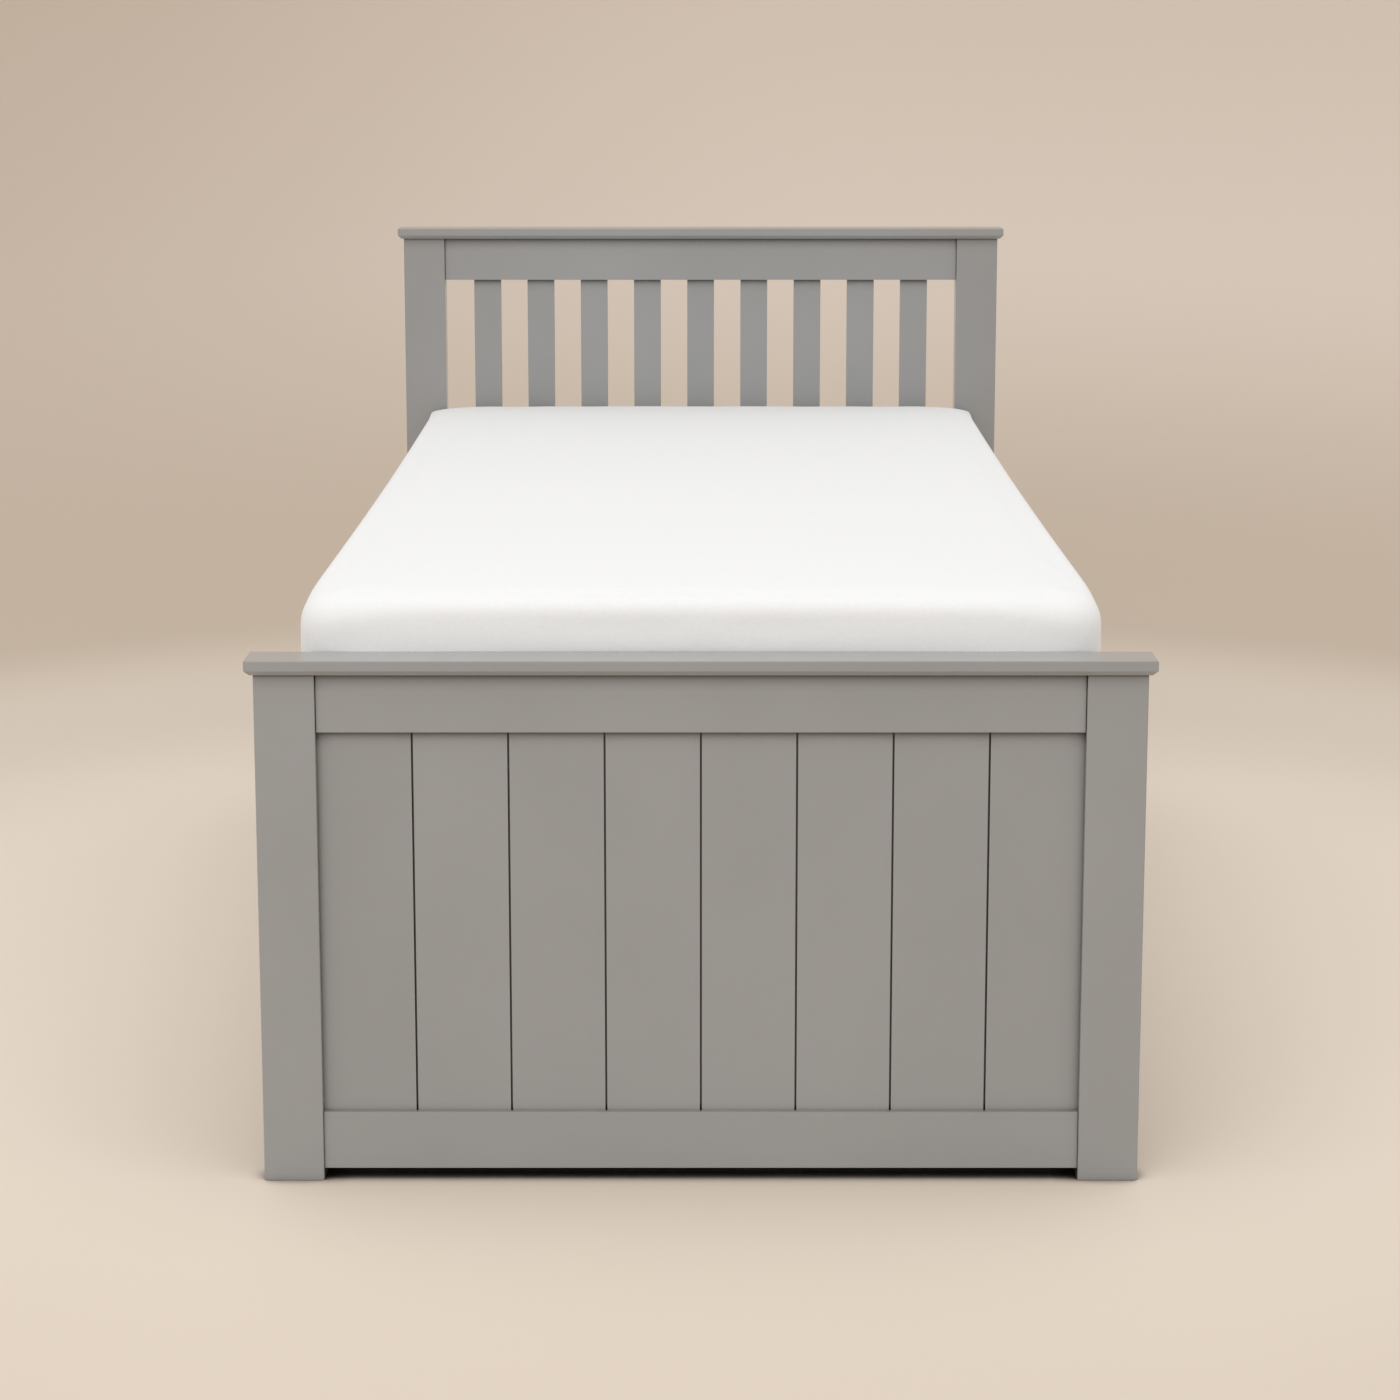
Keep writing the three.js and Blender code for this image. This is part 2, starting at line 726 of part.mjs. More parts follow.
const bed = new THREE.Group();
const foot = footboard();
foot.position.y = -clearLength / 2 - postThickness;
const head = headboard();
head.position.y = clearLength / 2;
const mattressZ = platformHeight + webbingThickness + fit;
bed.add(foot, head, sides(), slatBase(), chest());
bed.add(pieceOf("mattress", mattressGeometry(), sheeting, 0, 0, mattressZ));

export default bed;
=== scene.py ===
# The looks of a captain's bed: satin grey paint, pine drawers and a mattress in a white fitted sheet,
# in a pale studio. Lengths are metres. +Z is up, the foot end faces -Y, the drawers open towards +X.

import json
import math

import bmesh
import bpy
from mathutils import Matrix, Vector, noise

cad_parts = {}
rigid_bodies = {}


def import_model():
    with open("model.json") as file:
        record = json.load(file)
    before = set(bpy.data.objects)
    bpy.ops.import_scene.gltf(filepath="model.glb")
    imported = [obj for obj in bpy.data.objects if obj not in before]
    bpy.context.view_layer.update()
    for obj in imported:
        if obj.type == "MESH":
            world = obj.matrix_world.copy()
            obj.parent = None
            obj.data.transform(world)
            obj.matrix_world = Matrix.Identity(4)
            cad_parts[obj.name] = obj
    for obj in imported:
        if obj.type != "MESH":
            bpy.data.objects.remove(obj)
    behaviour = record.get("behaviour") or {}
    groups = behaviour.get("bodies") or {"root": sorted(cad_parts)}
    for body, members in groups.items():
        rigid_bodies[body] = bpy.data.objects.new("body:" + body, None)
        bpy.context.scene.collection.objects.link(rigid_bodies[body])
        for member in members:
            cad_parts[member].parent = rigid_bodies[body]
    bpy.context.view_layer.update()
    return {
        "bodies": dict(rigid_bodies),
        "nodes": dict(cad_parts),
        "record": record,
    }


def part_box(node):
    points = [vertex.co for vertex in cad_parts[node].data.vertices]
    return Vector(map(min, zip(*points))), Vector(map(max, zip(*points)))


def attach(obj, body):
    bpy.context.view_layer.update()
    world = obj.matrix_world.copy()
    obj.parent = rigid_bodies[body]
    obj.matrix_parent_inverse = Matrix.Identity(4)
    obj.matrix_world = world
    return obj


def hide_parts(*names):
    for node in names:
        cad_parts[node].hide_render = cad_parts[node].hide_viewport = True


MILLIMETRE = 0.001

# Finishes, as linear colours, and the colours of painted shade
PAINT_DARK = (0.283, 0.284, 0.282, 1.0)
PAINT_LIGHT = (0.308, 0.309, 0.307, 1.0)
PAINT_WORN = (0.390, 0.386, 0.374, 1.0)
# Painted shade: the colour of shaded corners, and the near black of deep joints and of the floor where
# something stands on it
PAINTED_CORNER_SHADE = (0.085, 0.081, 0.074, 1.0)
PAINTED_GAP_SHADE = (0.010, 0.009, 0.008, 1.0)
PINE_LIGHT = (0.740, 0.530, 0.310, 1.0)
PINE_MIDDLE = (0.660, 0.440, 0.230, 1.0)
PINE_DARK = (0.470, 0.270, 0.115, 1.0)
PINE_KNOT = (0.200, 0.090, 0.035, 1.0)
JOINT_LINE = (0.180, 0.110, 0.055, 1.0)
WEBBING = (0.620, 0.590, 0.520, 1.0)
COTTON_DARK = (0.822, 0.822, 0.817, 1.0)
COTTON_LIGHT = (0.850, 0.850, 0.845, 1.0)
FLOOR_COLOUR = (0.808, 0.700, 0.587, 1.0)
# Painted shade on the paper: darker far from the bed, in a band at the foot of the sweep, and on the wall
# towards the left, where less light falls
FLOOR_FAR_SHADE = (0.692, 0.592, 0.489, 1.0)
WALL_COLOUR = (0.738, 0.640, 0.550, 1.0)
WALL_SHADED = (0.612, 0.510, 0.424, 1.0)
WALL_FOOT_SHADE = (0.577, 0.472, 0.374, 1.0)
BACKGROUND = (0.640, 0.540, 0.440, 1.0)
LIGHT_WHITE = (1.0, 1.0, 1.0, 1.0)

# In the settings of the materials, a pattern's size is given as so many of it per metre across, and its
# stretch is how many times longer it is along the piece. A pair is where a change starts and is full,
# or the lowest and the highest value. Noise has most of its values in NOISE_RANGE.
NOISE_RANGE = (0.3, 0.7)

# Satin paint
PAINT_IOR = 1.5
PAINT_COAT = 0.7
PAINT_COAT_ROUGHNESS = 0.2
PAINT_ROUGHNESS = (0.28, 0.36)
GRAIN_PER_METRE = 150.0
GRAIN_STRETCH = 26.0
GRAIN_DEPTH = 0.10 * MILLIMETRE
BRUSH_PER_METRE = 900.0
BRUSH_STRETCH = 40.0
BRUSH_DEPTH = 0.02 * MILLIMETRE
PEEL_PER_METRE = 420.0
PEEL_DEPTH = 0.03 * MILLIMETRE
CLOUDS_PER_METRE = 4.0
PIECE_TONE = (-0.12, 0.12)
TONE_RANGE = (0.25, 0.75)
RUBBED_GRAIN = (0.42, 0.7)
RUBBED_RADIUS = 0.9 * MILLIMETRE
RUBBED_SHARE = (0.0, 0.6)
EDGE_TURN = (0.995, 0.86)
EDGE_SAMPLES = 4

# Painted shade in corners and joints, measured towards the sky side so that it falls as under a light from
# above: openness is 1 in the open and 0 deep in a joint
SKY_TILT = 0.7
OPENNESS_SAMPLES = 6
LEDGE_SLOPE = (0.2, 0.9)
CORNER_REACH = 20 * MILLIMETRE
CORNER_OPENNESS = (0.80, 0.30)
CORNER_SHARE = (0.0, 0.85)
GAP_OPENNESS = (0.46, 0.28)

# Pine
PINE_IOR = 1.45
PINE_ROUGHNESS = (0.5, 0.62)
PINE_DEPTH = 0.06 * MILLIMETRE
PINE_STRETCH = 14.0
RINGS_PER_METRE = 34.0
RING_DISTORTION = 30.0
RING_DETAIL = 1.5
RING_DETAIL_SCALE = 0.16
RING_STRENGTH_PER_METRE = 26.0
RING_STRENGTH_NOISE = (0.35, 0.65)
RING_STRENGTH = (0.2, 0.65)
LATE_WOOD = (0.45, 1.0)
PINE_TONES_PER_METRE = 20.0
FIBRES_PER_METRE = 1100.0
FIBRE_STRETCH = 50.0
FIBRE_NOISE = (0.5, 0.8)
FIBRE_SHARE = (0.0, 0.25)
FIBRE_RELIEF = 0.5
RING_RELIEF = 0.5
BOARD_RELIEF = (0.2, 0.8)
BOX_RELIEF = (0.2, 1.2)
KNOTS_PER_METRE = 7.0
KNOT_STRETCH = 3.0
KNOT_EDGE = (0.075, 0.045)
JOINT_LINE_INSET = 0.5 * MILLIMETRE
JOINT_LINE_HALF_WIDTH = 0.3 * MILLIMETRE

# Webbing tapes on the slat roll
TAPE_THICKNESS = 1.5 * MILLIMETRE
TAPE_MARGIN = 0.3 * MILLIMETRE
TAPE_INSET = 80 * MILLIMETRE
TAPE_WIDTH = 25 * MILLIMETRE
TAPE_RIB = 1.6 * MILLIMETRE
TAPE_ROUGHNESS = 0.9
SLAT_ROUGHNESS = 0.56

# Cotton sheet
COTTON_IOR = 1.45
COTTON_ROUGHNESS = 0.9
COTTON_SHEEN = 0.12
COTTON_SHEEN_ROUGHNESS = 0.5
THREAD_PITCH = 1.1 * MILLIMETRE
WEAVE_DEPTH = 0.02 * MILLIMETRE
SLUBS_PER_METRE = 260.0
SLUB_DEPTH = 0.03 * MILLIMETRE
CREASES_PER_METRE = 9.0
CREASE_DEPTH = 1.2 * MILLIMETRE

# Backdrop paper
PAPER_IOR = 1.3
FLOOR_ROUGHNESS = 0.85
WALL_ROUGHNESS = 0.9
PAPER_TOOTH_PER_METRE = 90.0
PAPER_TOOTH_DEPTH = 0.1 * MILLIMETRE
CONTACT_REACH = 30 * MILLIMETRE
CONTACT_OPENNESS = (0.75, 0.3)
FLOOR_FADE_START = 1.1
FOOT_HEIGHTS = (0.0, 0.07)
WALL_HEIGHTS = (0.12, 0.8)
WALL_SHADE_X = (-2.0, 0.4)

# Small roundings on the CAD pieces
ARRIS = 0.6 * MILLIMETRE
PLANK_ARRIS = 0.15 * MILLIMETRE
ARRIS_ANGLE = math.radians(40)
ARRIS_SEGMENTS = 2
WELD_DISTANCE = 0.01 * MILLIMETRE
FLAT_ANGLE = math.radians(0.5)

# Knobs: the profile that the CAD knob follows, turned finely
KNOB_PROJECTION = 25 * MILLIMETRE
KNOB_RADIUS = 17 * MILLIMETRE
KNOB_NECK_RADIUS = 7 * MILLIMETRE
KNOB_NECK_HEIGHT = 6 * MILLIMETRE
KNOB_BASE_RADIUS = 10 * MILLIMETRE
KNOB_BASE_HEIGHT = 2 * MILLIMETRE
KNOB_RIM_HEIGHT = 16 * MILLIMETRE
KNOB_GAP = 0.3 * MILLIMETRE
SPIGOT_RADIUS = 4.5 * MILLIMETRE
SPIGOT_LENGTH = 12 * MILLIMETRE
KNOB_TURNS = 64
KNOB_CURVE_STEPS = 12
KNOB_SHARP_ANGLE = math.radians(35)

# Mattress
MATTRESS_CROWN = 9 * MILLIMETRE
MATTRESS_TOP_RADIUS = 20 * MILLIMETRE
MATTRESS_BOTTOM_RADIUS = 20 * MILLIMETRE
MATTRESS_CORNER_RADIUS = 45 * MILLIMETRE
MATTRESS_CORNER_EXTRA = 14 * MILLIMETRE
MATTRESS_CORNER_REACH = 90 * MILLIMETRE
MATTRESS_HEAD_CORNER_RADIUS = 9 * MILLIMETRE
MATTRESS_HEAD_CORNER_EXTRA = -13 * MILLIMETRE
MATTRESS_HEAD_CORNER_REACH = 60 * MILLIMETRE
MATTRESS_HEAD_CORNER_FALL = 7.5 * MILLIMETRE
MATTRESS_HEAD_CORNER_FADE = 42 * MILLIMETRE
MATTRESS_HEAD_ARCH = 2 * MILLIMETRE
MATTRESS_DRAW_IN = 1.5 * MILLIMETRE
MATTRESS_ROUND_STEPS = 4
MATTRESS_FINE_REACH = 120 * MILLIMETRE
MATTRESS_FINE_STEP = 10 * MILLIMETRE
MATTRESS_STEP = 18 * MILLIMETRE
MATTRESS_SIDE_STEP = 12 * MILLIMETRE
SAG_DEPTH = 1.2 * MILLIMETRE
SAG_PER_METRE = 3.5
GATHER_DEPTH = 0.9 * MILLIMETRE
GATHER_LENGTH = 26 * MILLIMETRE
GATHER_REACH = 70 * MILLIMETRE
GATHER_HEIGHT = 60 * MILLIMETRE
GATHER_WANDER_PER_METRE = 9
GATHER_WANDER = 3

# The sheet is simulated as cloth that the filling presses out, from a shape a little too small.
# Below the hem line the mattress lies between the rails, and the sheet is held there.
SHEET_HEM = 45 * MILLIMETRE
SHEET_PRESSURE = 0.3
SHEET_STEPS = 20
SHEET_STIFFNESS = 15.0
SHEET_SHEAR = 8.0
SHEET_BENDING = 2.0
SHEET_MASS = 0.3
SHEET_QUALITY = 4
SHEET_RISE = 4 * MILLIMETRE
SHEET_SWELL = 3 * MILLIMETRE

# Camera, for a square frame
CAMERA_PLACE = (-0.001, -4.5822, 1.2832)
CAMERA_TILT = math.radians(10.308)
CAMERA_LENS = 85.486
CAMERA_SENSOR = 36.0
CAMERA_SHIFT_Y = -0.05

# Studio
FLOOR_RADIUS = 30.0
SWEEP_START = 1.9
SWEEP_RADIUS = 1.5
SWEEP_HEIGHT = 5.0
SWEEP_TURNS = 128
SWEEP_STEPS = 24
WORLD_STRENGTH = 0.92

# Lamps: the place, the point that it looks at, the width, and the power in watts
KEY_LAMP = ((-1.0, -4.0, 2.4), (0, -0.4, 0.4), 2.4, 22)
TOP_LAMP = ((0, -1.2, 3.4), (0, -1.2, 0), 2.4, 14)


# Materials


class Nodes:
    """A material's node tree, with a short call for each kind of node that is used here."""

    def __init__(self, name, **constants):
        self.material = bpy.data.materials.new(name)
        self.material.use_nodes = True
        self.tree = self.material.node_tree
        self.tree.nodes.clear()
        self.output = self.tree.nodes.new("ShaderNodeOutputMaterial")
        self.shader = self.tree.nodes.new("ShaderNodeBsdfPrincipled")
        self.tree.links.new(self.shader.outputs["BSDF"], self.output.inputs["Surface"])
        for key, value in constants.items():
            self.shader.inputs[key.replace("_", " ")].default_value = value

    def node(self, kind, inputs, **settings):
        node = self.tree.nodes.new(kind)
        for key, value in settings.items():
            setattr(node, key, value)
        for key, value in inputs.items():
            if isinstance(value, bpy.types.NodeSocket):
                self.tree.links.new(value, node.inputs[key])
            else:
                node.inputs[key].default_value = value
        return node

    def feed(self, name, socket):
        self.tree.links.new(socket, self.shader.inputs[name])

    def place(self):
        return self.node("ShaderNodeTexCoord", {}).outputs["Object"]

    def parts(self, vector):
        split = self.node("ShaderNodeSeparateXYZ", {"Vector": vector})
        return [split.outputs[axis] for axis in "XYZ"]

    def stretched(self, vector, axis, stretch):
        """The vector with one axis shortened, so that a pattern is drawn out along it."""
        scale = [1.0, 1.0, 1.0]
        scale["xyz".index(axis)] = 1 / stretch
        return self.node("ShaderNodeMapping", {"Vector": vector, "Scale": scale}).outputs["Vector"]

    def noise(self, vector, per_metre, detail=2.0, distortion=0.0):
        inputs = {"Vector": vector, "Scale": per_metre, "Detail": detail, "Distortion": distortion}
        return self.node("ShaderNodeTexNoise", inputs).outputs["Fac"]

    def math(self, operation, *values):
        inputs = dict(enumerate(values))
        return self.node("ShaderNodeMath", inputs, operation=operation).outputs["Value"]

    def remap(self, value, low, high, to_low=0.0, to_high=1.0, kind="LINEAR"):
        inputs = {
            "Value": value,
            "From Min": low,
            "From Max": high,
            "To Min": to_low,
            "To Max": to_high,
        }
        return self.node("ShaderNodeMapRange", inputs, interpolation_type=kind).outputs["Result"]

    def blend(self, share, first, second):
        """A colour that goes from the first to the second as share goes from 0 to 1.

        A Mix node has inputs for every kind of value. Its colours are inputs 6 and 7, and output 2.
        """
        mix = self.node("ShaderNodeMix", {0: share, 6: first, 7: second}, data_type="RGBA")
        return mix.outputs[2]

    def bump(self, height, distance, under=None):
        inputs = {"Height": height, "Distance": distance}
        if under is not None:
            inputs["Normal"] = under
        return self.node("ShaderNodeBump", inputs).outputs["Normal"]

    def edges(self, radius):
        """1 within about the radius of a sharp edge, and 0 on flat ground."""
        rounded = self.node("ShaderNodeBevel", {"Radius": radius}, samples=EDGE_SAMPLES).outputs["Normal"]
        true = self.node("ShaderNodeNewGeometry", {}).outputs["True Normal"]
        inputs = {0: rounded, 1: true}
        dot = self.node("ShaderNodeVectorMath", inputs, operation="DOT_PRODUCT").outputs["Value"]
        return self.remap(dot, *EDGE_TURN)

    def upright(self):
        """0 on a ledge that faces up, and 1 on an upright face or one that faces down. Painted shade is
        kept off the ledges, where light falls.
        """
        normal = self.node("ShaderNodeNewGeometry", {}).outputs["Normal"]
        return self.remap(self.parts(normal)[2], *LEDGE_SLOPE, 1.0, 0.0)

    def openness(self, distance):
        """How open a place is to the sky side, from 1 down to 0 in a joint, as far as the distance."""
        normal = self.node("ShaderNodeNewGeometry", {}).outputs["Normal"]
        inputs = {0: normal, 1: (0, 0, SKY_TILT)}
        leaning = self.node("ShaderNodeVectorMath", inputs, operation="ADD").outputs["Vector"]
        unit = self.node("ShaderNodeVectorMath", {0: leaning}, operation="NORMALIZE").outputs["Vector"]
        inputs = {"Distance": distance, "Normal": unit}
        return self.node("ShaderNodeAmbientOcclusion", inputs, samples=OPENNESS_SAMPLES).outputs["AO"]


def paint_material(axis, joined=True):
    """Satin paint, brushed along one axis over wood whose grain still shows faintly.

    Where pieces are joined, shade is painted into its colour: darker in the corners and near black deep in
    the joints, though not on ledges that face up and catch the light.
    """
    name = f"satin_grey_paint_{axis}" if joined else "satin_grey_paint_drawers"
    paint = Nodes(name, IOR=PAINT_IOR, Coat_Weight=PAINT_COAT, Coat_Roughness=PAINT_COAT_ROUGHNESS)
    place = paint.place()
    along = paint.stretched(place, axis, GRAIN_STRETCH)
    grain = paint.noise(along, GRAIN_PER_METRE, detail=5.0, distortion=0.4)
    brush = paint.noise(paint.stretched(place, axis, BRUSH_STRETCH), BRUSH_PER_METRE, detail=2.0)
    peel = paint.noise(place, PEEL_PER_METRE, detail=2.0)
    clouds = paint.noise(place, CLOUDS_PER_METRE, detail=3.0)
    own = paint.node("ShaderNodeObjectInfo", {}).outputs["Random"]
    tone = paint.math("ADD", paint.remap(own, 0.0, 1.0, *PIECE_TONE), clouds)
    colour = paint.blend(paint.remap(tone, *TONE_RANGE), PAINT_DARK, PAINT_LIGHT)
    on_grain = paint.remap(grain, *RUBBED_GRAIN, *RUBBED_SHARE)
    rubbed = paint.math("MULTIPLY", paint.edges(RUBBED_RADIUS), on_grain)
    colour = paint.blend(rubbed, colour, PAINT_WORN)
    # Painted shade: corners and deep joints are darkened by how shut in they are, as shade falls there,
    # and upward ledges are left light
    if joined:
        openness = paint.openness(CORNER_REACH)
        upright = paint.upright()
        corner = paint.math("MULTIPLY", paint.remap(openness, *CORNER_OPENNESS, *CORNER_SHARE), upright)
        gap = paint.math("MULTIPLY", paint.remap(openness, *GAP_OPENNESS), upright)
        colour = paint.blend(corner, colour, PAINTED_CORNER_SHADE)
        colour = paint.blend(gap, colour, PAINTED_GAP_SHADE)
    paint.feed("Base Color", colour)
    paint.feed("Roughness", paint.remap(peel, *NOISE_RANGE, *PAINT_ROUGHNESS))
    normal = paint.bump(grain, GRAIN_DEPTH)
    normal = paint.bump(brush, BRUSH_DEPTH, normal)
    normal = paint.bump(peel, PEEL_DEPTH, normal)
    paint.feed("Normal", normal)
    return paint.material


def pine_figure(wood, place, axis):
    """Colour and relief of planed pine with its grain along one axis: rings, fibres and a few knots."""
    drawn = wood.stretched(place, axis, PINE_STRETCH)
    inputs = {
        "Vector": drawn,
        "Scale": RINGS_PER_METRE,
        "Distortion": RING_DISTORTION,
        "Detail": RING_DETAIL,
        "Detail Scale": RING_DETAIL_SCALE,
    }
    wave = wood.node("ShaderNodeTexWave", inputs, wave_type="BANDS", bands_direction="DIAGONAL")
    rings = wave.outputs["Fac"]
    fibres = wood.noise(wood.stretched(place, axis, FIBRE_STRETCH), FIBRES_PER_METRE, detail=3.0)
    inputs = {
        "Vector": wood.stretched(place, axis, KNOT_STRETCH),
        "Scale": KNOTS_PER_METRE,
        "Randomness": 1.0,
    }
    knots = wood.node("ShaderNodeTexVoronoi", inputs).outputs["Distance"]
    patches = wood.noise(drawn, RING_STRENGTH_PER_METRE)
    strength = wood.remap(patches, *RING_STRENGTH_NOISE, *RING_STRENGTH)
    late = wood.math("MULTIPLY", wood.remap(rings, *LATE_WOOD), strength)
    tones = wood.remap(wood.noise(drawn, PINE_TONES_PER_METRE), *NOISE_RANGE)
    colour = wood.blend(tones, PINE_LIGHT, PINE_MIDDLE)
    colour = wood.blend(late, colour, PINE_DARK)
    colour = wood.blend(wood.remap(fibres, *FIBRE_NOISE, *FIBRE_SHARE), colour, PINE_DARK)
    knotty = wood.remap(knots, *KNOT_EDGE)
    colour = wood.blend(knotty, colour, PINE_KNOT)
    relief = wood.math("MULTIPLY_ADD", fibres, FIBRE_RELIEF, wood.math("MULTIPLY", late, RING_RELIEF))
    return colour, relief


def pine_material(axis):
    """Planed pine under a clear matt lacquer."""
    wood = Nodes(f"bare_pine_{axis}", IOR=PINE_IOR)
    colour, relief = pine_figure(wood, wood.place(), axis)
    wood.feed("Base Color", colour)
    wood.feed("Roughness", wood.remap(relief, *BOARD_RELIEF, *PINE_ROUGHNESS))
    wood.feed("Normal", wood.bump(relief, PINE_DEPTH))
    return wood.material


def drawer_box_material(lo, hi, wall):
    """Pine with its grain along each wall of a box, and a fine line where the walls meet."""
    wood = Nodes("bare_pine_drawer_box", IOR=PINE_IOR)
    place = wood.place()
    x = wood.parts(place)[0]
    middle = (lo.x + hi.x) / 2
    half_inner = (hi.x - lo.x) / 2 - wall
    reach = wood.math("ABSOLUTE", wood.math("SUBTRACT", x, middle))
    in_end = wood.math("GREATER_THAN", reach, half_inner)
    side_colour, side_relief = pine_figure(wood, place, "x")
    end_colour, end_relief = pine_figure(wood, place, "y")
    colour = wood.blend(in_end, side_colour, end_colour)
    relief = wood.math("ADD", wood.math("MULTIPLY", in_end, end_relief), side_relief)
    joint = wood.math("COMPARE", reach, half_inner + JOINT_LINE_INSET, JOINT_LINE_HALF_WIDTH)
    colour = wood.blend(joint, colour, JOINT_LINE)
    wood.feed("Base Color", colour)
    wood.feed("Roughness", wood.remap(relief, *BOX_RELIEF, *PINE_ROUGHNESS))
    wood.feed("Normal", wood.bump(relief, PINE_DEPTH))
    return wood.material


def slat_roll_material(hi):
    """Pine slats across the bed, with two woven tapes along it."""
    wood = Nodes("bare_pine_slats_and_webbing", IOR=PINE_IOR)
    place = wood.place()
    x, y, z = wood.parts(place)
    colour, relief = pine_figure(wood, place, "x")
    from_edge = wood.math("SUBTRACT", hi.x, wood.math("ABSOLUTE", x))
    in_band = wood.math("COMPARE", from_edge, TAPE_INSET + TAPE_WIDTH / 2, TAPE_WIDTH / 2)
    above = wood.math("GREATER_THAN", z, hi.z - TAPE_THICKNESS - TAPE_MARGIN)
    tape = wood.math("MULTIPLY", in_band, above)
    ribs = wood.math("SINE", wood.math("MULTIPLY", y, 2 * math.pi / TAPE_RIB))
    colour = wood.blend(tape, colour, WEBBING)
    height = wood.math("ADD", relief, wood.math("MULTIPLY", tape, ribs))
    wood.feed("Base Color", colour)
    wood.feed("Roughness", wood.remap(tape, 0.0, 1.0, SLAT_ROUGHNESS, TAPE_ROUGHNESS))
    wood.feed("Normal", wood.bump(height, PINE_DEPTH))
    return wood.material


def cotton_material():
    """A smooth white cotton sheet: a fine plain weave, soft creases and a little sheen."""
    cotton = Nodes(
        "white_cotton_sheet",
        Roughness=COTTON_ROUGHNESS,
        IOR=COTTON_IOR,
        Sheen_Weight=COTTON_SHEEN,
        Sheen_Roughness=COTTON_SHEEN_ROUGHNESS,
    )
    place = cotton.place()
    x, y, z = cotton.parts(place)
    thread = 2 * math.pi / THREAD_PITCH
    warp = cotton.math("SINE", cotton.math("MULTIPLY", cotton.math("ADD", x, z), thread))
    weft = cotton.math("SINE", cotton.math("MULTIPLY", cotton.math("ADD", y, z), thread))
    weave = cotton.math("MULTIPLY", warp, weft)
    slubs = cotton.noise(place, SLUBS_PER_METRE, detail=3.0)
    creases = cotton.noise(place, CREASES_PER_METRE, detail=4.0, distortion=0.6)
    tone = cotton.remap(slubs, *NOISE_RANGE)
    cotton.feed("Base Color", cotton.blend(tone, COTTON_DARK, COTTON_LIGHT))
    normal = cotton.bump(creases, CREASE_DEPTH)
    normal = cotton.bump(slubs, SLUB_DEPTH, normal)
    normal = cotton.bump(weave, WEAVE_DEPTH, normal)
    cotton.feed("Normal", normal)
    return cotton.material


# Pieces


def mesh_object(name, vertices, faces, material, smooth=True):
    """A new object in the scene, with its faces turned outward."""
    mesh = bpy.data.meshes.new(name)
    mesh.from_pydata(vertices, [], faces)
    mesh.validate()
    mesh.materials.append(material)
    work = bmesh.new()
    work.from_mesh(mesh)
    bmesh.ops.recalc_face_normals(work, faces=work.faces)
    work.to_mesh(mesh)
    work.free()
    mesh.polygons.foreach_set("use_smooth", [smooth] * len(mesh.polygons))
    piece = bpy.data.objects.new(name, mesh)
    bpy.context.scene.collection.objects.link(piece)
    return piece


def side_faces(low_ring, high_ring):
    """The faces between two rings, from the indices of their points."""
    count = len(low_ring)
    faces = []
    for i in range(count):
        j = (i + 1) % count
        faces.append((low_ring[i], low_ring[j], high_ring[j], high_ring[i]))
    return faces


def shade_smooth_group():
    """Geometry nodes that mark every face as smooth, so that the arrises shade as rounds."""
    group = bpy.data.node_groups.new("shade_smooth", "GeometryNodeTree")
    group.interface.new_socket("Geometry", in_out="INPUT", socket_type="NodeSocketGeometry")
    group.interface.new_socket("Geometry", in_out="OUTPUT", socket_type="NodeSocketGeometry")
    start = group.nodes.new("NodeGroupInput")
    smooth = group.nodes.new("GeometryNodeSetShadeSmooth")
    end = group.nodes.new("NodeGroupOutput")
    group.links.new(start.outputs[0], smooth.inputs["Geometry"])
    group.links.new(smooth.outputs["Geometry"], end.inputs[0])
    return group


def soften_edges(piece, width, smoothing):
    """Joins the CAD facets, rounds the sharp edges a little and shades the rounds smoothly."""
    weld = piece.modifiers.new("weld", "WELD")
    weld.merge_threshold = WELD_DISTANCE
    flatten = piece.modifiers.new("join_flat_faces", "DECIMATE")
    flatten.decimate_type = "DISSOLVE"
    flatten.angle_limit = FLAT_ANGLE
    smooth = piece.modifiers.new("smooth", "NODES")
    smooth.node_group = smoothing
    bevel = piece.modifiers.new("arris", "BEVEL")
    bevel.width = width
    bevel.segments = ARRIS_SEGMENTS
    bevel.limit_method = "ANGLE"
    bevel.angle_limit = ARRIS_ANGLE
    piece.modifiers.new("normals", "WEIGHTED_NORMAL")


def longest_axis(node):
    lo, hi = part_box(node)
    size = hi - lo
    return max("xyz", key=lambda axis: getattr(size, axis))


def drawer_wall(node):
    """How thick the walls of a drawer box are, from its vertices near one corner."""
    lo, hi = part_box(node)
    inner = [v.co.y for v in frame["nodes"][node].data.vertices if v.co.z > hi.z - WELD_DISTANCE]
    return min(y for y in inner if y > lo.y + MILLIMETRE) - lo.y


def finish_nodes():
    """Gives every CAD piece that stays its finish and its softened edges. Returns the drawers' paint."""
    slots = {part["node"]: part["material_slot"] for part in frame["record"]["subparts"]}
    paints = {axis: paint_material(axis) for axis in "xyz"}
    pines = {axis: pine_material(axis) for axis in "xyz"}
    # The drawers and their knobs get the paint without painted shade, as they move
    drawer_paint = paint_material("y", joined=False)
    box_material = None
    smoothing = shade_smooth_group()
    for name, piece in frame["nodes"].items():
        if name == "mattress" or name.endswith("_knob"):
            continue
        if name == "bed_slat_roll":
            material = slat_roll_material(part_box(name)[1])
        elif name.endswith("_box"):
            box_material = box_material or drawer_box_material(*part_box(name), drawer_wall(name))
            material = box_material
        elif name.startswith("drawer_"):
            material = drawer_paint
        elif slots[name] == "bare_pine":
            material = pines[longest_axis(name)]
        else:
            material = paints[longest_axis(name)]
        for slot in piece.material_slots:
            slot.material = material
        soften_edges(piece, PLANK_ARRIS if "_plank_" in name else ARRIS, smoothing)
    return drawer_paint


